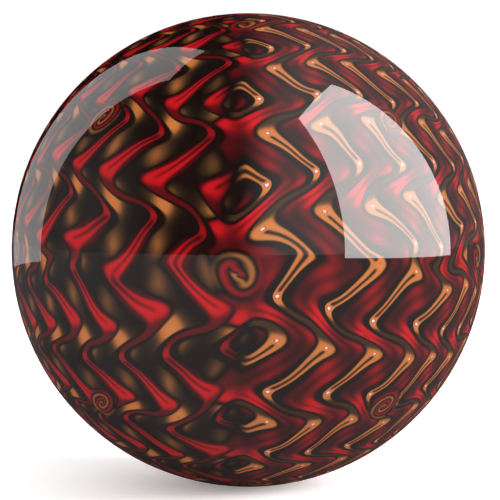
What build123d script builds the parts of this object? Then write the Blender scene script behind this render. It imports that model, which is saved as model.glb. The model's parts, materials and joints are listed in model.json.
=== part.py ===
from build123d import *
import os
from math import asin, degrees, sqrt

# A drilled ten-pin bowling ball of the picture kind. A cast inner ball carries a printed film in two
# halves, and a clear shell is cast over the film. The grip is drilled for a right hand: two finger holes
# with soft inserts, and a thumb hole with a removable thumb that drops in and locks with a twist.
#
# Frame, in millimetres: the origin is the ball's centre and +Z is up. The middle of the picture faces -Y.
# The grip is on the back: the middle finger's bore runs along +Y, and the thumb's hole points up and back
# towards -X, so a loose thumb stays seated. A part in a hole is made upright in the hole's own frame: its
# axis is Z, and the ball's surface crosses that axis at a height of ball_radius.

# ---- Driving dimensions ----
ball_radius = 108.5          # 8.54 in across
shell_thickness = 6.35       # 1/4 in of clear resin
film_thickness = 0.4
film_seam = 0.3              # gap between the two film halves
bond_gap = 0.02              # resin line between parts cast one on another
glue_gap = 0.05              # glue line round a part set in a hole

grip_roll = -45.0            # degrees the grip is turned about the middle finger's bore
grip_span = 108.0            # along the surface, thumb bore edge to middle finger bore edge
ring_span_excess = 3.2       # the ring finger's span is this much longer
finger_bridge = 8.0          # land between the two finger holes
finger_pitch = 6.35          # how far each finger hole's axis passes the centre, sideways
hole_edge_radius = 0.4       # rounding of each drilled edge

finger_hole_radius = 11.1    # 7/8 in across
finger_hole_depth = 42.0
insert_length = 34.0
middle_bore_radius = 9.0
ring_bore_radius = 8.6
insert_mouth_radius = 1.5

thumb_hole_radius = 19.05    # 1 1/2 in across
outer_sleeve_bore = 17.65
inner_sleeve_radius = 17.55
inner_sleeve_bore = 15.9
thumb_bore_radius = 12.7     # 1 in across
slug_mouth_radius = 2.4

slug_depth = 53.2            # depths are down from the ball's surface, along the hole's axis
inner_sleeve_depth = 55.9
inner_sleeve_floor = 2.5
ledge_depth = 56.0
ledge_thickness = 3.0
ledge_bore = 14.0
outer_sleeve_depth = 66.0
thumb_hole_depth = 66.5

lug_count = 3
lug_width = 40.0             # degrees
lug_slot_width = 44.0        # degrees
lug_radius = 17.3
lug_thickness = 2.9
lug_clearance = 0.2          # under the ledge
spigot_radius = 13.8
lock_turn = 60.0             # degrees clockwise, seen from outside
stop_width = 4.5             # degrees
stop_play = 1.5              # degrees between a locked lug and its stop
stop_bore = 15.5

ring_section_radius = 0.6    # the o-ring's
ring_depth = 10.0
ring_groove_play = 0.1

pin_radius = 6.35            # 1/2 in across
pin_seat = 4.0               # how far the pin enters the weight block
block_radius = 35.0
block_crown = 82.0           # the weight block's top is a sphere of this radius about the centre
block_floor = 60.0
block_edge_radius = 3.0

rim_mark_radius = 0.5        # punched dots on the sleeves' rims
gravity_mark_radius = 1.3    # punched dot over the centre of gravity
gravity_mark_offset = 26.0   # along the surface, from the pin
overrun = 10.0               # how far a cutter stands past the surface

# ---- Worked out from them ----
film_outer = ball_radius - shell_thickness - bond_gap
film_inner = film_outer - film_thickness
core_radius = film_inner - bond_gap
set_finger_radius = finger_hole_radius - glue_gap
set_thumb_radius = thumb_hole_radius - glue_gap
lug_top_depth = ledge_depth + ledge_thickness + lug_clearance
lug_pitch = 360 / lug_count


# ---- Places on the ball ----
def degrees_along(distance):
    """The angle at the ball's centre that a distance along its surface covers."""
    return degrees(distance / ball_radius)


half_grip = degrees_along(grip_span + thumb_bore_radius + middle_bore_radius) / 2
half_bridge = degrees_along(finger_hole_radius + finger_bridge / 2)
finger_tilt = degrees(asin(finger_pitch / ball_radius))


def grip_frame(up=0.0, right=0.0):
    """Frame at the ball's centre whose Z leaves through a point up (towards the fingers) and right of the
    grip's centre, in degrees, as seen from outside the ball."""
    along_middle_bore = Rot(-90, 0, 0) * Rot(0, 0, grip_roll)
    grip_centre = along_middle_bore * Rot(0, half_bridge - finger_tilt, 0) * Rot(half_grip, 0, 0)
    return grip_centre * Rot(-up, 0, 0) * Rot(0, right, 0)


def finger_frame(side, span_excess=0.0):
    """A finger hole's frame: side -1 is the middle finger, left seen from outside, and 1 is the ring."""
    radial = grip_frame(half_grip + degrees_along(span_excess), side * half_bridge)
    return radial * Pos(0, 0, ball_radius) * Rot(0, -side * finger_tilt, 0) * Pos(0, 0, -ball_radius)


middle_frame = finger_frame(-1)
ring_frame = finger_frame(1, ring_span_excess)
thumb_frame = grip_frame(-half_grip)


# ---- Shapes in a hole's own frame ----
def column(radius, depth, top=overrun):
    """Cylinder from a depth below the ball's surface to a height above it."""
    upright = (Align.CENTER, Align.CENTER, Align.MIN)
    return Pos(0, 0, ball_radius - depth) * Cylinder(radius, depth + top, align=upright)


def ring(inner, outer, depth, top_depth):
    """Plain ring between two depths."""
    return column(outer, depth, -top_depth) - column(inner, depth, -top_depth)


def ring_sector(inner, outer, depth, top_depth, centre_angle, width):
    """Part of a ring that spans width degrees about a centre angle."""
    low = ball_radius - depth
    high = ball_radius - top_depth
    outline = Polyline((inner, low), (outer, low), (outer, high), (inner, high), close=True)
    section = Plane.XZ * make_face(outline)
    return Rot(0, 0, centre_angle - width / 2) * revolve(section, Axis.Z, revolution_arc=width)


def rim_dot(radius, angle):
    """Small ball that punches a dot in a rim at a distance from the axis and an angle round it."""
    height = sqrt(ball_radius**2 - radius**2)
    return Rot(0, 0, angle) * Pos(radius, 0, height) * Sphere(rim_mark_radius)


# ---- Shapes in the ball's frame ----
def round_mouth(solid, frame, radius):
    """Round the edge where the hole that a frame belongs to meets the ball's surface."""
    mouth = (frame * Pos(0, 0, ball_radius)).position
    return fillet(solid.edges().sort_by_distance(mouth)[0], radius)


def flush_tube(frame, bore, outer, depth, mouth_radius):
    """Open tube in a hole, cut flush with the ball and rounded at its mouth."""
    tube = frame * ring(bore, outer, depth, -overrun) & Sphere(ball_radius)
    return round_mouth(tube, frame, mouth_radius)


def drilled_holes():
    fingers = [frame * column(finger_hole_radius, finger_hole_depth) for frame in (middle_frame, ring_frame)]
    return fingers + [thumb_frame * column(thumb_hole_radius, thumb_hole_depth)]


def pin_column(radius):
    return grip_frame() * column(radius, ball_radius - block_crown + pin_seat)


def block_blank(growth=0.0):
    """The weight block before drilling, a shallow disc with a crowned top, grown all round by growth."""
    radius = block_radius + growth
    disc = column(radius, ball_radius - block_floor + growth) & Sphere(block_crown + growth)
    return grip_frame() * fillet(disc.edges().filter_by(GeomType.CIRCLE), block_edge_radius)


# ---- The ball ----
def clear_shell():
    gravity_mark = grip_frame(0, -degrees_along(gravity_mark_offset)) * Pos(0, 0, ball_radius)
    shell = Sphere(ball_radius) - Sphere(ball_radius - shell_thickness)
    shell -= drilled_holes()
    for frame in (middle_frame, ring_frame, thumb_frame):
        shell = round_mouth(shell, frame, hole_edge_radius)
    return shell - pin_column(pin_radius + bond_gap) - gravity_mark * Sphere(gravity_mark_radius)


def film_half(side):
    """One half of the printed film: side is -1 for the display half and 1 for the grip half."""
    width = 2 * ball_radius
    half_space = Pos(0, side * (width + film_seam) / 2, 0) * Box(width, width, width)
    return (Sphere(film_outer) - Sphere(film_inner)) & half_space


def picture_film_front():
    return film_half(-1)


def picture_film_back():
    return film_half(1) - drilled_holes() - pin_column(pin_radius + bond_gap)


def outer_core():
    return Sphere(core_radius) - block_blank(bond_gap) - drilled_holes() - pin_column(pin_radius + bond_gap)


def weight_block():
    return block_blank() - drilled_holes() - pin_column(pin_radius + bond_gap)


def locating_pin():
    return pin_column(pin_radius) & Sphere(ball_radius)


# ---- Finger inserts ----
def finger_insert(frame, bore_radius):
    return flush_tube(frame, bore_radius, set_finger_radius, insert_length, insert_mouth_radius)


def middle_finger_insert():
    return finger_insert(middle_frame, middle_bore_radius)


def ring_finger_insert():
    return finger_insert(ring_frame, ring_bore_radius)


# ---- Removable thumb ----
def thumb_outer_sleeve():
    """Sleeve glued in the ball: ledges near its bottom, slots between them for the lugs, and a stop past
    each slot."""
    sleeve = flush_tube(
        thumb_frame, outer_sleeve_bore, set_thumb_radius, outer_sleeve_depth, hole_edge_radius
    )
    ledge_floor = ledge_depth + ledge_thickness
    in_wall = (outer_sleeve_bore + set_thumb_radius) / 2
    locked_edge = lock_turn + lug_width / 2 + stop_play
    for lug in range(lug_count):
        slot_angle = lug * lug_pitch
        ledge_angle = slot_angle + lug_pitch / 2
        stop_angle = slot_angle - locked_edge - stop_width / 2
        sleeve += thumb_frame * ring_sector(
            ledge_bore, in_wall, ledge_floor, ledge_depth, ledge_angle, lug_pitch - lug_slot_width
        )
        sleeve += thumb_frame * ring_sector(
            stop_bore, in_wall, outer_sleeve_depth, ledge_floor, stop_angle, stop_width
        )
    return sleeve - thumb_frame * rim_dot(in_wall, 0) - thumb_frame * rim_dot(in_wall, -lock_turn)


def thumb_inner_sleeve():
    """Removable sleeve: a cup for the slug, and below it a spigot with the lugs."""
    in_wall = (inner_sleeve_bore + inner_sleeve_radius) / 2
    lug_floor = lug_top_depth + lug_thickness
    plate_top = inner_sleeve_depth - inner_sleeve_floor
    foot = column(in_wall, inner_sleeve_depth, -plate_top)
    foot += column(spigot_radius, lug_floor, -plate_top)
    for lug in range(lug_count):
        foot += ring_sector(
            spigot_radius - 1, lug_radius, lug_floor, lug_top_depth, lug * lug_pitch, lug_width
        )
    groove_half = ring_section_radius + ring_groove_play / 2
    groove_floor = outer_sleeve_bore - 2 * (ring_section_radius + bond_gap)
    groove = ring(groove_floor, thumb_hole_radius, ring_depth + groove_half, ring_depth - groove_half)
    cup = flush_tube(
        thumb_frame, inner_sleeve_bore, inner_sleeve_radius, inner_sleeve_depth, hole_edge_radius
    )
    return cup + thumb_frame * foot - thumb_frame * groove - thumb_frame * rim_dot(in_wall, 0)


def thumb_slug():
    return flush_tube(
        thumb_frame, thumb_bore_radius, inner_sleeve_bore - glue_gap, slug_depth, slug_mouth_radius
    )


def thumb_o_ring():
    centre_line = outer_sleeve_bore - bond_gap - ring_section_radius
    return thumb_frame * Pos(0, 0, ball_radius - ring_depth) * Torus(centre_line, ring_section_radius)


# ---- Export ----
sub_parts = [
    clear_shell,
    picture_film_front,
    picture_film_back,
    outer_core,
    weight_block,
    locating_pin,
    middle_finger_insert,
    ring_finger_insert,
    thumb_outer_sleeve,
    thumb_inner_sleeve,
    thumb_slug,
    thumb_o_ring,
]

os.makedirs("parts", exist_ok=True)
for make in sub_parts:
    export_step(make(), f"parts/{make.__name__}.step")
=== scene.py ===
"""Looks for the drilled picture bowling ball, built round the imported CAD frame.

The ball is a clear cast shell bonded to a printed film. The print is a generic flame pattern that a formula
draws: folded, swirled waves on a flat map of each half of the ball. Lengths are in metres.
"""
import json
import math

import bpy
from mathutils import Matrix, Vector


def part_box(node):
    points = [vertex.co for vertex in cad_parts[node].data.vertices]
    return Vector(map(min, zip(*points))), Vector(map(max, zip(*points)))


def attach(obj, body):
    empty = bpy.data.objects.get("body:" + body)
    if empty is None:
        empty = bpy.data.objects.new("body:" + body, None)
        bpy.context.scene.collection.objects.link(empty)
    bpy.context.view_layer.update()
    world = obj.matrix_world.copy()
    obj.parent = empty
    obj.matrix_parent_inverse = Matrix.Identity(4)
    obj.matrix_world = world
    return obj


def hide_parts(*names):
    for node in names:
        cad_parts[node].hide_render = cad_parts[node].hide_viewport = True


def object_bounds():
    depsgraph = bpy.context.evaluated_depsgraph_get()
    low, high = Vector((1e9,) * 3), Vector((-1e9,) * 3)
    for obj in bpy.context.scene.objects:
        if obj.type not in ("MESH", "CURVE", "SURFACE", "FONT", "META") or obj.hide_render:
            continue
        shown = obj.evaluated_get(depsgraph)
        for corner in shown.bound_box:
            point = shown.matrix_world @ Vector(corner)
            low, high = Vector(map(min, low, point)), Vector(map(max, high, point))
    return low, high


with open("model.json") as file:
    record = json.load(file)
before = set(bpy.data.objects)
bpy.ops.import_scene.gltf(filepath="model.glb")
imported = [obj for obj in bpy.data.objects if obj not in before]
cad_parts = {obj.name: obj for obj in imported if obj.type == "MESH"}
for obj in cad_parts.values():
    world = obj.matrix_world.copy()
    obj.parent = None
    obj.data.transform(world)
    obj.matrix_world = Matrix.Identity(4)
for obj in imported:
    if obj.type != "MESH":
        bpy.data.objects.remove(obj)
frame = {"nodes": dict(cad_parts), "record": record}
cad_low, cad_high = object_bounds()
nodes = frame["nodes"]

# ---- Places, from the frame ----
MM = 0.001
BALL_CENTRE = (cad_low + cad_high) / 2
BALL_RADIUS = (cad_high.z - cad_low.z) / 2
FILM_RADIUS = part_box("picture_film_front")[1].z - BALL_CENTRE.z
MOUNTS = {mount["name"]: mount for mount in frame["record"]["mounts"]}

# ---- Print ----
# The print is drawn on a flat map of the half ball. x runs across and y up, and a swirl period is 2 pi.
# Strokes are the crests of upright waves. The waves swing from side to side as they go up, one way slowly
# and back faster. The slow parts are the strokes, and the fast parts between them are faint joins. A stroke
# has a wide head and a narrow one. The left half of the map is the right half's mirror image with its
# colours swapped: red strokes and orange patches. A place along a stroke is 1 in its middle, 0 at its heads
# and -1 in the middle of the next join. A pair is a value for the left half and one for the right, unless
# its comment says otherwise.
PRINT_AZIMUTH = math.radians(-1.65)     # of the print's centre, from the middle of the picture half
PRINT_ELEVATION = math.radians(-1.85)
SWIRL_PERIOD = math.radians(86)         # from one large swirl to the next in its row
WANDER = 0.14                           # how far the map strays, so that no two strokes are quite alike
WANDER_ACROSS = (1.3, 2.3, 0.7)         # how fast it strays in x and in y, and where that in y begins
WANDER_UP = (0.9, 2.8, 2.0)             # the same with x and y swapped
SWIRL_STEPS = 3
SWIRL_TURN = 0.03
SWIRL_CORE_TURN = 0.80                  # added at the middle of each large swirl
SWIRL_CORE_WIDTH = 0.02
FOLD_ROUNDING = 0.10                    # how far the mirror folds are rounded
SIDE_SHARPNESS = 10.0                   # how fast the strokes' colours swap across the upright fold
CENTRE_SHIFT = 0.2                      # on a band just right of that fold, all strokes are orange
CENTRE_WIDTH = 0.4
WAVES_PER_SWIRL = 6.4
SWINGS_PER_SWIRL = 3.6
LEAN = 3.0                              # how far the waves swing sideways
LEAN_SKEW = 0.42                        # how much faster they swing back
LEAN_STAGGER = 0.1                      # a swing is ahead on one flank of a wave and behind on the other
LEAN_DRIFT = -0.13                      # how far the swings shift from each wave to the next

STROKE_LEVEL = 0.4                      # how high up a crest its stroke begins
STROKE_NECK = (0.2, 0.25)               # how much higher between the heads
STROKE_JOIN = (0.1, 0.2)                # how much higher in the join to the next stroke
STROKE_TAPER = (0.4, 0.35)              # how much lower at the wide head, and higher at the narrow one
STROKE_TOP_LEVEL = 0.85
STROKE_CRISPNESS = (1.2, 1.3)
STROKE_STRENGTH = (0.6, 0.85)
HEAD_FADED_AT = (-0.75, -0.6)           # the place where the narrow and the wide head have faded out
HEAD_WHOLE_AT = (-0.1, 0.35)            # and where they are whole
JOIN_STRENGTH = (0.5, 0.25)             # the joins' strength, as a share of the strokes'
VEIN_WIDTH = 0.05                       # the dark line along a stroke
VEIN_REACH = (0.1, 0.6)                 # the places where it begins and where it is whole
VEIN_STRENGTH = 0.85
GLOW_SPREAD = (-1.0, 0.9)               # soft light round the left half's strokes, from trough to crest
GLOW_REACH = (-0.5, 0.5)                # the places where it begins and where it is whole
GLOW_STRENGTH = 0.45
CORE_WIDTH = 0.06                       # the hot core in each head
CORE_PLACE = 0.9
CORE_SPREAD = 0.13
CORE_REACH = (-0.25, 0.2)               # the places where it begins and where it is whole
CORE_STRENGTH = 0.6

PATCH_SIDE_SHARPNESS = 5.0              # how fast the patches' colours swap
PATCH_SIDE_SHIFT = 0.3                  # they swap left of the fold, along a line that sways with the waves
PATCH_SIDE_SWAY = 0.3
PATCH_LEVEL = 0.35                      # how far up from a trough its patches reach
PATCH_BASE = 0.42                       # the even part of a patch, on the right half
PATCH_HOLLOW = 0.5                      # how far a right patch fades in its middle
HOLLOW_SHARPNESS = 6.0
PATCH_WEAVE = 0.5                       # how much weaker a patch is beside a stroke than beside a join
WEAVE_REACH = (-0.6, 0.6)               # the places where that begins and where it is whole
PATCH_CHANGE = 0.35                     # how much patches differ from place to place
CHANGE_RISING = (1.7, 2.3, 1.0)         # how fast they differ in x and in y, and from where
CHANGE_FALLING = (2.9, -1.3, 0.0)
CENTRE_PATCHES = 0.8                    # how much of the patches is left on the centre band
SPOT_EDGE = (-0.1, 0.5)                 # how deep in a trough a spot begins, and where it is whole
SPOT_WIDTH = (0.8, 0.9)
SPOT_HEIGHT = (0.9, 1.2)
SPOT_LEAN = 0.2
SPOT_STEP = 1.2                         # sideways, from one spot to the one below it
SPIRAL_REACH = (0.28, 0.52)             # from the middle of a large swirl: whole, and gone
SPIRAL_TIGHTNESS = 22.0
SPIRAL_STRENGTH = 0.5
PRINT_GRAIN_SIZE = 0.5 * MM
PRINT_GRAIN = 0.15

# The inks by level: reds below 0, black at 0, and orange above it with the hot core's red and white on top.
PRINT_RANGE = 1.6
PRINT_INKS = [
    (-1.60, (60, 8, 12)),
    (-1.30, (110, 16, 22)),
    (-1.00, (190, 24, 30)),
    (-0.75, (170, 22, 28)),
    (-0.40, (104, 17, 20)),
    (-0.20, (62, 15, 17)),
    (-0.06, (24, 14, 13)),
    (0.06, (24, 17, 14)),
    (0.20, (56, 37, 24)),
    (0.35, (98, 62, 34)),
    (0.60, (178, 104, 54)),
    (1.00, (196, 119, 63)),
    (1.10, (165, 35, 48)),
    (1.22, (240, 210, 210)),
    (1.60, (250, 235, 235)),
]

# ---- Clear shell ----
RESIN_IOR = 1.5
POLISH_FACE_ON = 0.11                   # share of the light that is mirrored
POLISH_AT_OUTLINE = 0.2                 # and how much more of it at the outline
BOND_MARGIN = 0.2 * MM                  # how near the film the shell's inner face is

# ---- Solid materials ----
SHADE_CHANGE = 0.3                      # how much a plastic's shade differs from place to place
MOULDED_SHADE_SIZE = 6 * MM
MOULDED_GLOSS_CHANGE = 0.1
TURNED_SHADE_SIZE = 5 * MM
TURNED_GLOSS_CHANGE = 0.12
RINGS_PER_CHANGE = 7.3                  # from one deeper ring to the next
RING_CHANGE = 0.7
CLOUD_SIZE = 4 * MM
CLOUD_EDGES = (0.35, 0.7)
SMEAR_SIZE = 9 * MM
POURED_ROUGHNESS = 0.08

# ---- Finger inserts ----
MOUTH_ROUNDING = 1.5 * MM
EDGE_ROUNDING = 0.25 * MM
FLUTES = 18
FLUTE_DEPTH = 0.45 * MM
FLUTE_START = 0.12                      # share of the bore above the flutes
FLUTE_RUN_OUT = 1 / 8                   # share of the bore over which a flute gains or loses its depth
FLUTE_SHARPNESS = 1.5
SEGMENTS_PER_FLUTE = 12
BORE_ROWS = 24

# ---- Stage ----
FLOOR_SIZE = 30.0
FLOOR_LEVEL = 0.9                       # its white as a light's bounce sees it
FLOOR_CAMERA_LIFT = 0.65                # brighter to the camera, so it meets the white background
FLOOR_GLOSSY_DROP = 0.76                # darker in the ball's gloss
PANEL_DISTANCE = 1.6
BACKGROUND = 1.05                       # to the camera
FILL_BASE = 0.35                        # light on what it falls on: even, with more from front and back
FILL_ENDS = (2.4, 1.5)                  # the light from the front and from the back
FILL_TURN = (-0.3, 0.3)                 # in depth: where it begins to change to the back's, and where it has
RIGHT_WALL = (0.40, 0.23)               # in reflections: beside the camera, and far behind the ball
RIGHT_WALL_EDGE = (-0.1, 0.3)           # sideways: where it begins, and where it is whole
RIGHT_WALL_TURN = (-0.2, 0.8)           # in depth: where its level begins to change, and where it has
LEFT_WALL = 0.12
LEFT_WALL_EDGE = (0.6, 1.0)
CAMERA_DISTANCE = 1.0
CAMERA_ELEVATION = math.radians(2)
CAMERA_LENS = 156.3
CAMERA_SHIFT = 0.0034


# ---- Material arithmetic ----
class Value:
    """A number inside a material. Arithmetic on it adds Math nodes, so a formula reads as one."""

    def __init__(self, socket):
        self.socket = socket
        self.tree = socket.id_data

    def __add__(self, other):
        return math_node("ADD", self, other)

    def __radd__(self, other):
        return math_node("ADD", self, other)

    def __sub__(self, other):
        return math_node("SUBTRACT", self, other)

    def __rsub__(self, other):
        return math_node("SUBTRACT", other, self)

    def __mul__(self, other):
        return math_node("MULTIPLY", self, other)

    def __truediv__(self, other):
        return math_node("DIVIDE", self, other)


def plug(thing, place):
    """Feed a node's input from a Value, a socket or a plain number or colour."""
    if isinstance(thing, Value):
        thing = thing.socket
    if isinstance(thing, bpy.types.NodeSocket):
        place.id_data.links.new(thing, place)
    else:
        place.default_value = thing


def math_node(operation, *numbers):
    """A Math node fed by numbers, of which at least one is a Value."""
    tree = next(number.tree for number in numbers if isinstance(number, Value))
    node = tree.nodes.new("ShaderNodeMath")
    node.operation = operation
    for number, place in zip(numbers, node.inputs):
        plug(number, place)
    return Value(node.outputs[0])


def sine(value):
    return math_node("SINE", value)


def cosine(value):
    return math_node("COSINE", value)


def tanh(value):
    return math_node("TANH", value)


def at_least_zero(value):
    return math_node("MAXIMUM", value, 0.0)


def rounded_abs(value, rounding):
    """The size of a value, with a rounded bottom in place of the sharp turn at 0."""
    return math_node("SQRT", value * value + rounding**2)


def smooth_step(low, high, value):
    """0 up to low, 1 from high, and a smooth rise between."""
    tree = value.tree
    node = tree.nodes.new("ShaderNodeMapRange")
    node.interpolation_type = "SMOOTHSTEP"
    plug(value, node.inputs["Value"])
    node.inputs["From Min"].default_value = low
    node.inputs["From Max"].default_value = high
    return Value(node.outputs["Result"])


def hump(distance, width):
    """1 at a distance of 0, falling off over about the width."""
    return math_node("EXPONENT", distance * (-1 / width))


def between(share, left, right):
    """left where the share is 0 and right where it is 1."""
    return share * (right - left) + left


def srgb(red, green, blue):
    """A colour picked as 0-255 on a screen, as the linear RGBA that nodes work in."""
    def linear(level):
        share = level / 255
        return share / 12.92 if share <= 0.04045 else ((share + 0.055) / 1.055) ** 2.4

    return (linear(red), linear(green), linear(blue), 1.0)


class Surface:
    """A material under construction."""

    def __init__(self, name):
        self.material = bpy.data.materials.new(name)
        self.material.use_nodes = True
        self.tree = self.material.node_tree
        self.tree.nodes.clear()
        self.output = self.tree.nodes.new("ShaderNodeOutputMaterial")
        self.position = self.tree.nodes.new("ShaderNodeTexCoord").outputs["Object"]

    def finish(self, shader):
        """The material, with this shader on its output."""
        self.tree.links.new(shader, self.output.inputs["Surface"])
        return self.material

    def principled(self, **inputs):
        """A Principled shader; an input's name has _ for each space."""
        node = self.tree.nodes.new("ShaderNodeBsdfPrincipled")
        for name, thing in inputs.items():
            plug(thing, node.inputs[name.replace("_", " ")])
        return node.outputs[0]

    def shader(self, kind, **inputs):
        """A white shader of a kind."""
        node = self.tree.nodes.new(kind)
        node.inputs["Color"].default_value = (1, 1, 1, 1)
        for name, number in inputs.items():
            node.inputs[name].default_value = number
        return node.outputs[0]

    def blended(self, share, first, second):
        """The first shader where the share is 0 and the second where it is 1."""
        node = self.tree.nodes.new("ShaderNodeMixShader")
        for thing, place in zip((share, first, second), node.inputs):
            plug(thing, place)
        return node.outputs[0]

    def noise(self, size, detail=2.0):
        """Noise from 0 to 1 whose blobs are about this size across."""
        node = self.tree.nodes.new("ShaderNodeTexNoise")
        plug(self.position, node.inputs["Vector"])
        node.inputs["Scale"].default_value = 1 / size
        node.inputs["Detail"].default_value = detail
        return Value(node.outputs["Fac"])

    def along(self, direction):
        """Distance along a direction from the ball's centre."""
        node = self.tree.nodes.new("ShaderNodeVectorMath")
        node.operation = "DOT_PRODUCT"
        plug(self.position, node.inputs[0])
        node.inputs[1].default_value = direction
        return Value(node.outputs["Value"])

    def ramp(self, value, stops, low=0.0, high=1.0):
        """Colours along a value that runs from low to high. A stop is a value and its colour."""
        node = self.tree.nodes.new("ShaderNodeValToRGB")
        elements = node.color_ramp.elements
        while len(elements) < len(stops):
            elements.new(0.5)
        for element, (level, colour) in zip(elements, stops):
            element.position = (level - low) / (high - low)
            element.color = colour
        plug((value - low) / (high - low), node.inputs["Fac"])
        return node.outputs["Color"]

    def bump(self, height, depth):
        """A normal bumped by a height from 0 to 1, which stands for a depth in metres."""
        node = self.tree.nodes.new("ShaderNodeBump")
        node.inputs["Distance"].default_value = depth
        plug(height, node.inputs["Height"])
        return node.outputs["Normal"]

    def scaled(self, colour, factor):
        """A colour times a number."""
        node = self.tree.nodes.new("ShaderNodeVectorMath")
        node.operation = "SCALE"
        plug(colour, node.inputs[0])
        plug(factor, node.inputs["Scale"])
        return node.outputs[0]


# ---- The printed film ----
def print_map(surface):
    """Two Values that place a point of the film on the print's flat map, in radians from its centre. The
    back half is the front half's mirror image, so the two meet at the seam."""
    normalise = surface.tree.nodes.new("ShaderNodeVectorMath")
    normalise.operation = "NORMALIZE"
    plug(surface.position, normalise.inputs[0])
    split = surface.tree.nodes.new("ShaderNodeSeparateXYZ")
    plug(normalise.outputs[0], split.inputs[0])
    across, depth, up = (Value(socket) for socket in split.outputs)
    depth = math_node("ABSOLUTE", depth)
    turned_across = across * math.cos(PRINT_AZIMUTH) - depth * math.sin(PRINT_AZIMUTH)
    turned_depth = across * math.sin(PRINT_AZIMUTH) + depth * math.cos(PRINT_AZIMUTH)
    turned_up = up * math.cos(PRINT_ELEVATION) - turned_depth * math.sin(PRINT_ELEVATION)
    facing = up * math.sin(PRINT_ELEVATION) + turned_depth * math.cos(PRINT_ELEVATION)
    return turned_across * 2 / (facing + 1), turned_up * 2 / (facing + 1)


def stray(along, across, waves_along, waves_across, start):
    """How far the map strays: slow waves that don't repeat with the strokes."""
    return sine(across * waves_across + start) * cosine(along * waves_along) * WANDER


def swirled(x, y):
    """Turn the map about the middles of the large swirls, faster towards each middle."""
    for _ in range(SWIRL_STEPS):
        closeness = math_node("EXPONENT", (cosine(x) * cosine(y) - 1) / SWIRL_CORE_WIDTH)
        turn = closeness * SWIRL_CORE_TURN + SWIRL_TURN
        x = x + turn * sine(y)
        y = y - turn * sine(x)
    return x, y


def head_window(slow, wide):
    """1 over a stroke, falling to 0 along the joins. It falls sooner at the wide head."""
    faded = between(wide, *HEAD_FADED_AT)
    whole = between(wide, *HEAD_WHOLE_AT)
    share = at_least_zero(math_node("MINIMUM", (slow - faded) / (whole - faded), 1.0))
    return share * share * (3 - share * 2)


def strokes(crest, slow, wide, right, centre):
    """The strokes along the crests. slow is the place along a stroke. wide is 1 at the wide head and 0 at
    the narrow one. right and centre are 1 on the right half and on the centre band."""
    neck = at_least_zero(slow)
    level = neck * neck * between(right, *STROKE_NECK) + STROKE_LEVEL
    level = level + (1 - slow) * between(right, *STROKE_JOIN) / 2
    level = level + (1 - wide * 2) * between(right, *STROKE_TAPER)
    level = math_node("MINIMUM", level, STROKE_TOP_LEVEL)
    rise = (crest - level) / (1 - level) * between(right, *STROKE_CRISPNESS)
    faded = between(head_window(slow, wide), between(right, *JOIN_STRENGTH), 1)
    stroke = smooth_step(0.0, 1.0, rise) * between(right, *STROKE_STRENGTH) * faded
    vein = hump(1 - crest, VEIN_WIDTH) * smooth_step(*VEIN_REACH, slow) * VEIN_STRENGTH
    glow = smooth_step(*GLOW_SPREAD, crest) * smooth_step(*GLOW_REACH, slow) * GLOW_STRENGTH
    return stroke * (1 - vein) + glow * wide * (1 - right) * (1 - centre)


def hot_cores(crest, slow):
    """A small bright core in each head."""
    offset = (1 - slow * slow - CORE_PLACE) / CORE_SPREAD
    core = hump(offset * offset, 1.0) * hump(1 - crest, CORE_WIDTH)
    return core * smooth_step(*CORE_REACH, slow) * CORE_STRENGTH


def spots(wave, swing, right):
    """Soft leaning spots, 1 in the middle, one to each wave and swing."""
    sideways = (1 - cosine(wave + sine(swing) * SPOT_LEAN)) / between(right, *SPOT_WIDTH)
    return hump(sideways + (1 - cosine(swing)) / between(right, *SPOT_HEIGHT), 1.0)


def plane_wave(x, y, across, up, start):
    """How far through a slanted wave a point of the map is."""
    return x * across + y * up + start


def patches(x, y, wave, swing, crest, slow, right, base):
    """The soft patches that fill the troughs between the strokes. base is the even part of them."""
    depth = (PATCH_LEVEL - crest) / (PATCH_LEVEL + 1)
    opposite = wave - math.pi
    spot = spots(opposite, swing, right) + spots(opposite + SPOT_STEP, swing - math.pi, right)
    patch = spot * smooth_step(*SPOT_EDGE, depth) + smooth_step(0.0, 1.0, depth) * base
    change = sine(plane_wave(x, y, *CHANGE_RISING)) * cosine(plane_wave(x, y, *CHANGE_FALLING)) * 0.5 + 0.5
    hollow = math_node("POWER", at_least_zero(depth), HOLLOW_SHARPNESS) * right * PATCH_HOLLOW
    woven = 1 - smooth_step(*WEAVE_REACH, slow) * PATCH_WEAVE
    return patch * woven * (1 - change * PATCH_CHANGE) * (1 - hollow)


def with_spirals(level, x, y):
    """The print's level, with a spiral of an orange and a red arm in the middle of each large swirl."""
    radius = math_node("SQRT", at_least_zero(2 - cosine(x) * cosine(y) * 2))
    angle = math_node("ARCTAN2", sine(y), sine(x))
    arms = cosine(angle - radius * SPIRAL_TIGHTNESS) * SPIRAL_STRENGTH
    return between(smooth_step(*SPIRAL_REACH, radius), arms, level)


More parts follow.
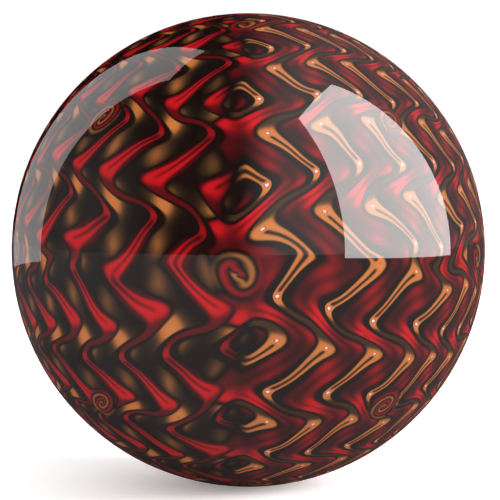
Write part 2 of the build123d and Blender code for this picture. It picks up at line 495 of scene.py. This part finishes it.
def print_field(surface):
    """The print's level at a point: high is orange and low is red, with black between."""
    across, up = print_map(surface)
    per_swirl = 2 * math.pi / SWIRL_PERIOD
    x, y = across * per_swirl, up * per_swirl
    x, y = swirled(x + stray(x, y, *WANDER_ACROSS), y + stray(y, x, *WANDER_UP))
    side = tanh(x * SIDE_SHARPNESS)
    right = side * 0.5 + 0.5
    off_centre = x - CENTRE_SHIFT
    centre = hump(off_centre * off_centre, CENTRE_WIDTH**2)

    wave = rounded_abs(x, FOLD_ROUNDING) * WAVES_PER_SWIRL
    swing = rounded_abs(y, FOLD_ROUNDING) * SWINGS_PER_SWIRL
    swing = swing + sine(wave) * LEAN_STAGGER + wave * LEAN_DRIFT
    skewed = swing - sine(swing) * LEAN_SKEW
    sway = sine(skewed)
    crest = cosine(wave + sway * LEAN)
    slow = cosine(skewed)
    wide = sway * tanh(y * SIDE_SHARPNESS) * side * 0.5 + 0.5

    stroke_ink = between(centre, side, 1)
    patch_place = (x + sway * PATCH_SIDE_SWAY + PATCH_SIDE_SHIFT) * PATCH_SIDE_SHARPNESS
    patch_ink = tanh(patch_place) * (1 - centre * (1 - CENTRE_PATCHES))
    base = (tanh(patch_place * 2) * 0.5 + 0.5) * PATCH_BASE
    stroke = strokes(crest, slow, wide, right, centre) * stroke_ink
    core = hot_cores(crest, slow) * at_least_zero(stroke_ink)
    patch = patches(x, y, wave, swing, crest, slow, right, base) * patch_ink
    return with_spirals(stroke + core - patch, x, y)


def printed_film():
    """Matt inks with a fine grain, on the film under the resin."""
    surface = Surface("printed_film")
    inks = [(level, srgb(*ink)) for level, ink in PRINT_INKS]
    level = print_field(surface)
    grain = surface.noise(PRINT_GRAIN_SIZE) - 0.5
    level = level + grain * level * PRINT_GRAIN
    colour = surface.ramp(level, inks, -PRINT_RANGE, PRINT_RANGE)
    return surface.finish(surface.principled(Base_Color=colour, Roughness=0.6, Specular_IOR_Level=0.0))


# ---- The clear shell ----
def clear_resin():
    """Clear resin that lets light through to the film. Its inner face is bonded to the film, so it neither
    bends nor mirrors there. Outside, it mirrors more face on and less at the outline than bare resin would.
    Then a lamp behind the ball doesn't burn its outline away."""
    surface = Surface("clear_resin")
    tree = surface.tree
    path = tree.nodes.new("ShaderNodeLightPath")
    lets_through = math_node(
        "MAXIMUM", Value(path.outputs["Is Shadow Ray"]), Value(path.outputs["Is Diffuse Ray"])
    )
    length = tree.nodes.new("ShaderNodeVectorMath")
    length.operation = "LENGTH"
    plug(surface.position, length.inputs[0])
    bonded = math_node("LESS_THAN", Value(length.outputs["Value"]), FILM_RADIUS + BOND_MARGIN)
    grazing = Value(tree.nodes.new("ShaderNodeLayerWeight").outputs["Facing"])
    leaving = Value(tree.nodes.new("ShaderNodeNewGeometry").outputs["Backfacing"])

    bent = surface.shader("ShaderNodeBsdfRefraction", Roughness=0.0, IOR=RESIN_IOR)
    mirrored = surface.shader("ShaderNodeBsdfGlossy", Roughness=0.0)
    glass = surface.shader("ShaderNodeBsdfGlass", Roughness=0.0, IOR=RESIN_IOR)
    clear = surface.shader("ShaderNodeBsdfTransparent")
    polish = surface.blended(grazing * grazing * POLISH_AT_OUTLINE + POLISH_FACE_ON, bent, mirrored)
    resin = surface.blended(leaving, polish, glass)
    return surface.finish(surface.blended(math_node("MAXIMUM", lets_through, bonded), resin, clear))


# ---- Solid materials ----
def shaded(surface, colour, size):
    """A colour whose shade differs a little from place to place."""
    return surface.scaled(colour, surface.noise(size, 3.0) * SHADE_CHANGE + (1 - SHADE_CHANGE / 2))


def moulded(name, colour, roughness, grain, depth):
    """A solid plastic or rubber with a fine grain and a faint change of colour."""
    surface = Surface(name)
    texture = surface.noise(grain)
    return surface.finish(
        surface.principled(
            Base_Color=shaded(surface, colour, MOULDED_SHADE_SIZE),
            Roughness=texture * MOULDED_GLOSS_CHANGE + roughness,
            Normal=surface.bump(texture, depth),
        )
    )


def poured(name, colour, cloud_colour):
    """A polished cast resin with soft clouds of a second colour in it."""
    surface = Surface(name)
    inks = list(zip(CLOUD_EDGES, ((*colour, 1), (*cloud_colour, 1))))
    clouds = surface.ramp(surface.noise(CLOUD_SIZE, 4.0), inks)
    gloss = surface.noise(SMEAR_SIZE) * POURED_ROUGHNESS + POURED_ROUGHNESS
    return surface.finish(surface.principled(Base_Color=clouds, Roughness=gloss))


def turned(name, colour, roughness, axis, ring_pitch, depth):
    """A solid plastic turned on a lathe: fine rings about its axis, some cut deeper than others."""
    surface = Surface(name)
    height = surface.along(axis)
    rings = sine(height * (2 * math.pi / ring_pitch)) * 0.5 + 0.5
    change = sine(height * (2 * math.pi / (ring_pitch * RINGS_PER_CHANGE)))
    texture = rings * (change * (RING_CHANGE / 2) + (1 - RING_CHANGE / 2))
    return surface.finish(
        surface.principled(
            Base_Color=shaded(surface, colour, TURNED_SHADE_SIZE),
            Roughness=texture * TURNED_GLOSS_CHANGE + roughness,
            Normal=surface.bump(texture, depth),
        )
    )


# ---- Finger inserts ----
class Hole:
    """A round hole in the ball, from a bore mount: its axis, and how high the ball's surface is."""

    def __init__(self, mount):
        self.axis = Vector(mount["axis"]).normalized()
        on_axis = Vector(mount["pos_m"])
        self.foot = on_axis + self.axis * (BALL_CENTRE - on_axis).dot(self.axis)
        self.across = self.axis.orthogonal().normalized()
        self.along = self.axis.cross(self.across)
        self.bore = mount["dims"]["r_mm"] * MM

    def point(self, radius, angle, height):
        """A point this far from the axis, this way round it, and this high along it."""
        flat = self.across * math.cos(angle) + self.along * math.sin(angle)
        return self.foot + flat * radius + self.axis * height

    def surface(self, radius, angle):
        """Height along the axis of the ball's surface."""
        flat = self.point(radius, angle, 0) - BALL_CENTRE
        return math.sqrt(BALL_RADIUS**2 - flat.length_squared)

    def reach(self, node):
        """Largest radius and lowest height of a CAD node about this hole's axis."""
        offsets = [vertex.co - self.foot for vertex in nodes[node].data.vertices]
        heights = [offset.dot(self.axis) for offset in offsets]
        radii = [(offset - self.axis * height).length for offset, height in zip(offsets, heights)]
        return max(radii), min(heights)


def arc(centre_radius, centre_depth, size, start, end, steps):
    """Profile points on a round, from one angle to another in degrees. 0 is outward and 90 is up."""
    points = []
    for step in range(steps + 1):
        angle = math.radians(start + (end - start) * step / steps)
        points.append((centre_radius + size * math.cos(angle), centre_depth - size * math.sin(angle)))
    return points


def insert_profile(bore, outer):
    """Radius and depth under the ball's surface, from the outer edge over the mouth and into the bore."""
    edge = arc(outer - EDGE_ROUNDING, EDGE_ROUNDING, EDGE_ROUNDING, 0, 90, 4)
    mouth = arc(bore + MOUTH_ROUNDING, MOUTH_ROUNDING, MOUTH_ROUNDING, 90, 180, 10)
    return [(outer, 3 * EDGE_ROUNDING)] + edge + mouth


def flute(angle, share):
    """How far a grip flute cuts into the bore's wall. share is 0 at the mouth and 1 at the bottom."""
    from_end = max(0.0, min(share - FLUTE_START, 1 - share))
    ends = min(1.0, from_end / FLUTE_RUN_OUT)
    crest = 0.5 + 0.5 * math.cos(FLUTES * angle)
    return FLUTE_DEPTH * crest**FLUTE_SHARPNESS * ends * ends * (3 - 2 * ends)


def grid_piece(name, rows, material, body):
    """A closed tube from rows of points, each row a ring round the hole, that rides on a body."""
    count = len(rows[0])
    vertices = [point for row in rows for point in row]
    faces = []
    for r in range(len(rows)):
        here, there = r * count, (r + 1) % len(rows) * count
        for s in range(count):
            after = (s + 1) % count
            faces.append((here + s, here + after, there + after, there + s))
    mesh = bpy.data.meshes.new(name)
    mesh.from_pydata(vertices, [], faces)
    mesh.shade_smooth()
    mesh.materials.append(material)
    piece = bpy.data.objects.new(name, mesh)
    bpy.context.collection.objects.link(piece)
    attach(piece, body)
    return piece


def fluted_insert(name, mount, node, material):
    """A soft finger insert: rounded mouth flush with the ball, and a bore with shallow grip flutes."""
    hole = Hole(MOUNTS[mount])
    outer, floor = hole.reach(node)
    segments = FLUTES * SEGMENTS_PER_FLUTE
    angles = [2 * math.pi * s / segments for s in range(segments)]
    rows = []
    for radius, depth in insert_profile(hole.bore, outer):
        rows.append([hole.point(radius, a, hole.surface(radius, a) - depth) for a in angles])
    for r in range(1, BORE_ROWS + 1):
        share = r / BORE_ROWS
        row = []
        for a in angles:
            top = hole.surface(hole.bore, a) - MOUTH_ROUNDING
            height = top + (floor + EDGE_ROUNDING - top) * share
            row.append(hole.point(hole.bore + flute(a, share), a, height))
        rows.append(row)
    rows.append([hole.point(hole.bore + EDGE_ROUNDING, a, floor) for a in angles])
    rows.append([hole.point(outer - EDGE_ROUNDING, a, floor) for a in angles])
    rows.append([hole.point(outer, a, floor + EDGE_ROUNDING) for a in angles])
    piece = grid_piece(name, rows, material, "ball")
    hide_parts(node)


# ---- Stage ----
def white_floor():
    """A floor as white as the background, which the ball's gloss sees darker."""
    bpy.ops.mesh.primitive_plane_add(size=FLOOR_SIZE, location=(0, 0, cad_low.z))
    floor = bpy.context.object
    floor.name = "floor"
    surface = Surface("floor")
    path = surface.tree.nodes.new("ShaderNodeLightPath")
    level = Value(path.outputs["Is Camera Ray"]) * FLOOR_CAMERA_LIFT + FLOOR_LEVEL
    level = level - Value(path.outputs["Is Glossy Ray"]) * FLOOR_GLOSSY_DROP
    white = surface.scaled((1, 1, 1), level)
    floor.data.materials.append(
        surface.finish(surface.principled(Base_Color=white, Roughness=0.9, Specular_IOR_Level=0.0))
    )


def aimed(name, light, towards):
    """A lamp whose light comes from this direction, and that doesn't shine through the clear resin."""
    lamp = bpy.data.objects.new(name, light)
    lamp.rotation_mode = "QUATERNION"
    lamp.rotation_quaternion = (-towards).to_track_quat("-Z", "Y")
    lamp.visible_transmission = False
    bpy.context.collection.objects.link(lamp)
    return lamp


def softbox(name, azimuth, low, high, width, radiance):
    """A panel seen only in reflections. Azimuth is degrees round from the camera, to its right. Its lower
    and upper edge and its width are shares of its distance."""
    a = math.radians(azimuth)
    towards = Vector((math.sin(a), -math.cos(a), 0))
    light = bpy.data.lights.new(name, "AREA")
    light.shape = "RECTANGLE"
    light.size = width * PANEL_DISTANCE
    light.size_y = (high - low) * PANEL_DISTANCE
    light.energy = radiance * math.pi * light.size * light.size_y
    panel = aimed(name, light, towards)
    panel.location = BALL_CENTRE + (towards + Vector((0, 0, (low + high) / 2))) * PANEL_DISTANCE
    panel.visible_camera = False
    panel.visible_diffuse = False


def sun(name, azimuth, elevation, strength, softness):
    """A sun that isn't seen in reflections. All its angles are in degrees."""
    light = bpy.data.lights.new(name, "SUN")
    light.energy = strength
    light.angle = math.radians(softness)
    a, e = math.radians(azimuth), math.radians(elevation)
    towards = Vector((math.sin(a) * math.cos(e), -math.cos(a) * math.cos(e), math.sin(e)))
    lamp = aimed(name, light, towards)
    lamp.visible_glossy = False


def surroundings():
    """White to the camera, soft light on what it falls on, and darker walls in reflections."""
    world = bpy.data.worlds.new("studio")
    bpy.context.scene.world = world
    world.use_nodes = True
    tree = world.node_tree
    background = tree.nodes["Background"]
    path = tree.nodes.new("ShaderNodeLightPath")
    diffuse = Value(path.outputs["Is Diffuse Ray"])
    glossy = Value(path.outputs["Is Glossy Ray"])
    direction = tree.nodes.new("ShaderNodeSeparateXYZ")
    plug(tree.nodes.new("ShaderNodeTexCoord").outputs["Generated"], direction.inputs[0])
    sideways = Value(direction.outputs["X"])
    depth = Value(direction.outputs["Y"])
    fill = depth * depth * between(smooth_step(*FILL_TURN, depth), *FILL_ENDS) + FILL_BASE
    right_wall = between(smooth_step(*RIGHT_WALL_TURN, depth), *RIGHT_WALL)
    walls = smooth_step(*RIGHT_WALL_EDGE, sideways) * right_wall
    walls = walls + smooth_step(*LEFT_WALL_EDGE, sideways * -1) * LEFT_WALL
    strength = BACKGROUND + glossy * (walls - BACKGROUND) + diffuse * (fill - BACKGROUND)
    plug(strength, background.inputs["Strength"])
    background.inputs["Color"].default_value = (1, 1, 1, 1)


def camera():
    """The scene's camera, in front of the ball and a little above its middle."""
    data = bpy.data.cameras.new("camera")
    data.lens = CAMERA_LENS
    data.shift_x = CAMERA_SHIFT
    eye = bpy.data.objects.new("camera", data)
    back = Vector((0, -math.cos(CAMERA_ELEVATION), math.sin(CAMERA_ELEVATION)))
    eye.location = BALL_CENTRE + back * CAMERA_DISTANCE
    eye.rotation_mode = "QUATERNION"
    eye.rotation_quaternion = (-back).to_track_quat("-Z", "Y")
    bpy.context.collection.objects.link(eye)
    bpy.context.scene.camera = eye


# ---- Build ----
film = printed_film()
thumb_axis = MOUNTS["thumb_bore"]["axis"]
finishes = {
    "clear_shell": clear_resin(),
    "picture_film_front": film,
    "picture_film_back": film,
    "outer_core": moulded(
        "core_filler", (0.25, 0.23, 0.2), roughness=0.7, grain=0.5 * MM, depth=0.05 * MM
    ),
    "weight_block": moulded(
        "weight_block", (0.5, 0.35, 0.12), roughness=0.6, grain=0.5 * MM, depth=0.05 * MM
    ),
    "locating_pin": poured("pin_resin", (0.72, 0.25, 0.05), (0.85, 0.5, 0.2)),
    "thumb_outer_sleeve": turned(
        "sleeve_plastic", (0.02, 0.02, 0.02), roughness=0.32,
        axis=thumb_axis, ring_pitch=0.9 * MM, depth=0.02 * MM,
    ),
    "thumb_inner_sleeve": moulded(
        "inner_sleeve_plastic", (0.35, 0.01, 0.012), roughness=0.4, grain=0.3 * MM, depth=0.02 * MM
    ),
    "thumb_slug": turned(
        "thumb_slug_urethane", (0.03, 0.028, 0.027), roughness=0.48,
        axis=thumb_axis, ring_pitch=1.1 * MM, depth=0.04 * MM,
    ),
    "thumb_o_ring": moulded(
        "seal_rubber", (0.012, 0.012, 0.012), roughness=0.5, grain=0.2 * MM, depth=0.01 * MM
    ),
}
for node_name, finish in finishes.items():
    nodes[node_name].material_slots[0].material = finish

urethane = moulded(
    "insert_urethane", (0.03, 0.03, 0.033), roughness=0.45, grain=0.3 * MM, depth=0.03 * MM
)
fluted_insert("middle_finger_grip", "middle_finger_bore", "middle_finger_insert", urethane)
fluted_insert("ring_finger_grip", "ring_finger_bore", "ring_finger_insert", urethane)

white_floor()
softbox("right_softbox", azimuth=77, low=-0.04, high=2.2, width=1.27, radiance=3.3)
softbox("left_softbox", azimuth=-134, low=-0.25, high=2.1, width=0.73, radiance=0.9)
sun("key", azimuth=75, elevation=32, strength=1.9, softness=26)
surroundings()
camera()
bpy.context.scene.view_settings.view_transform = "Standard"
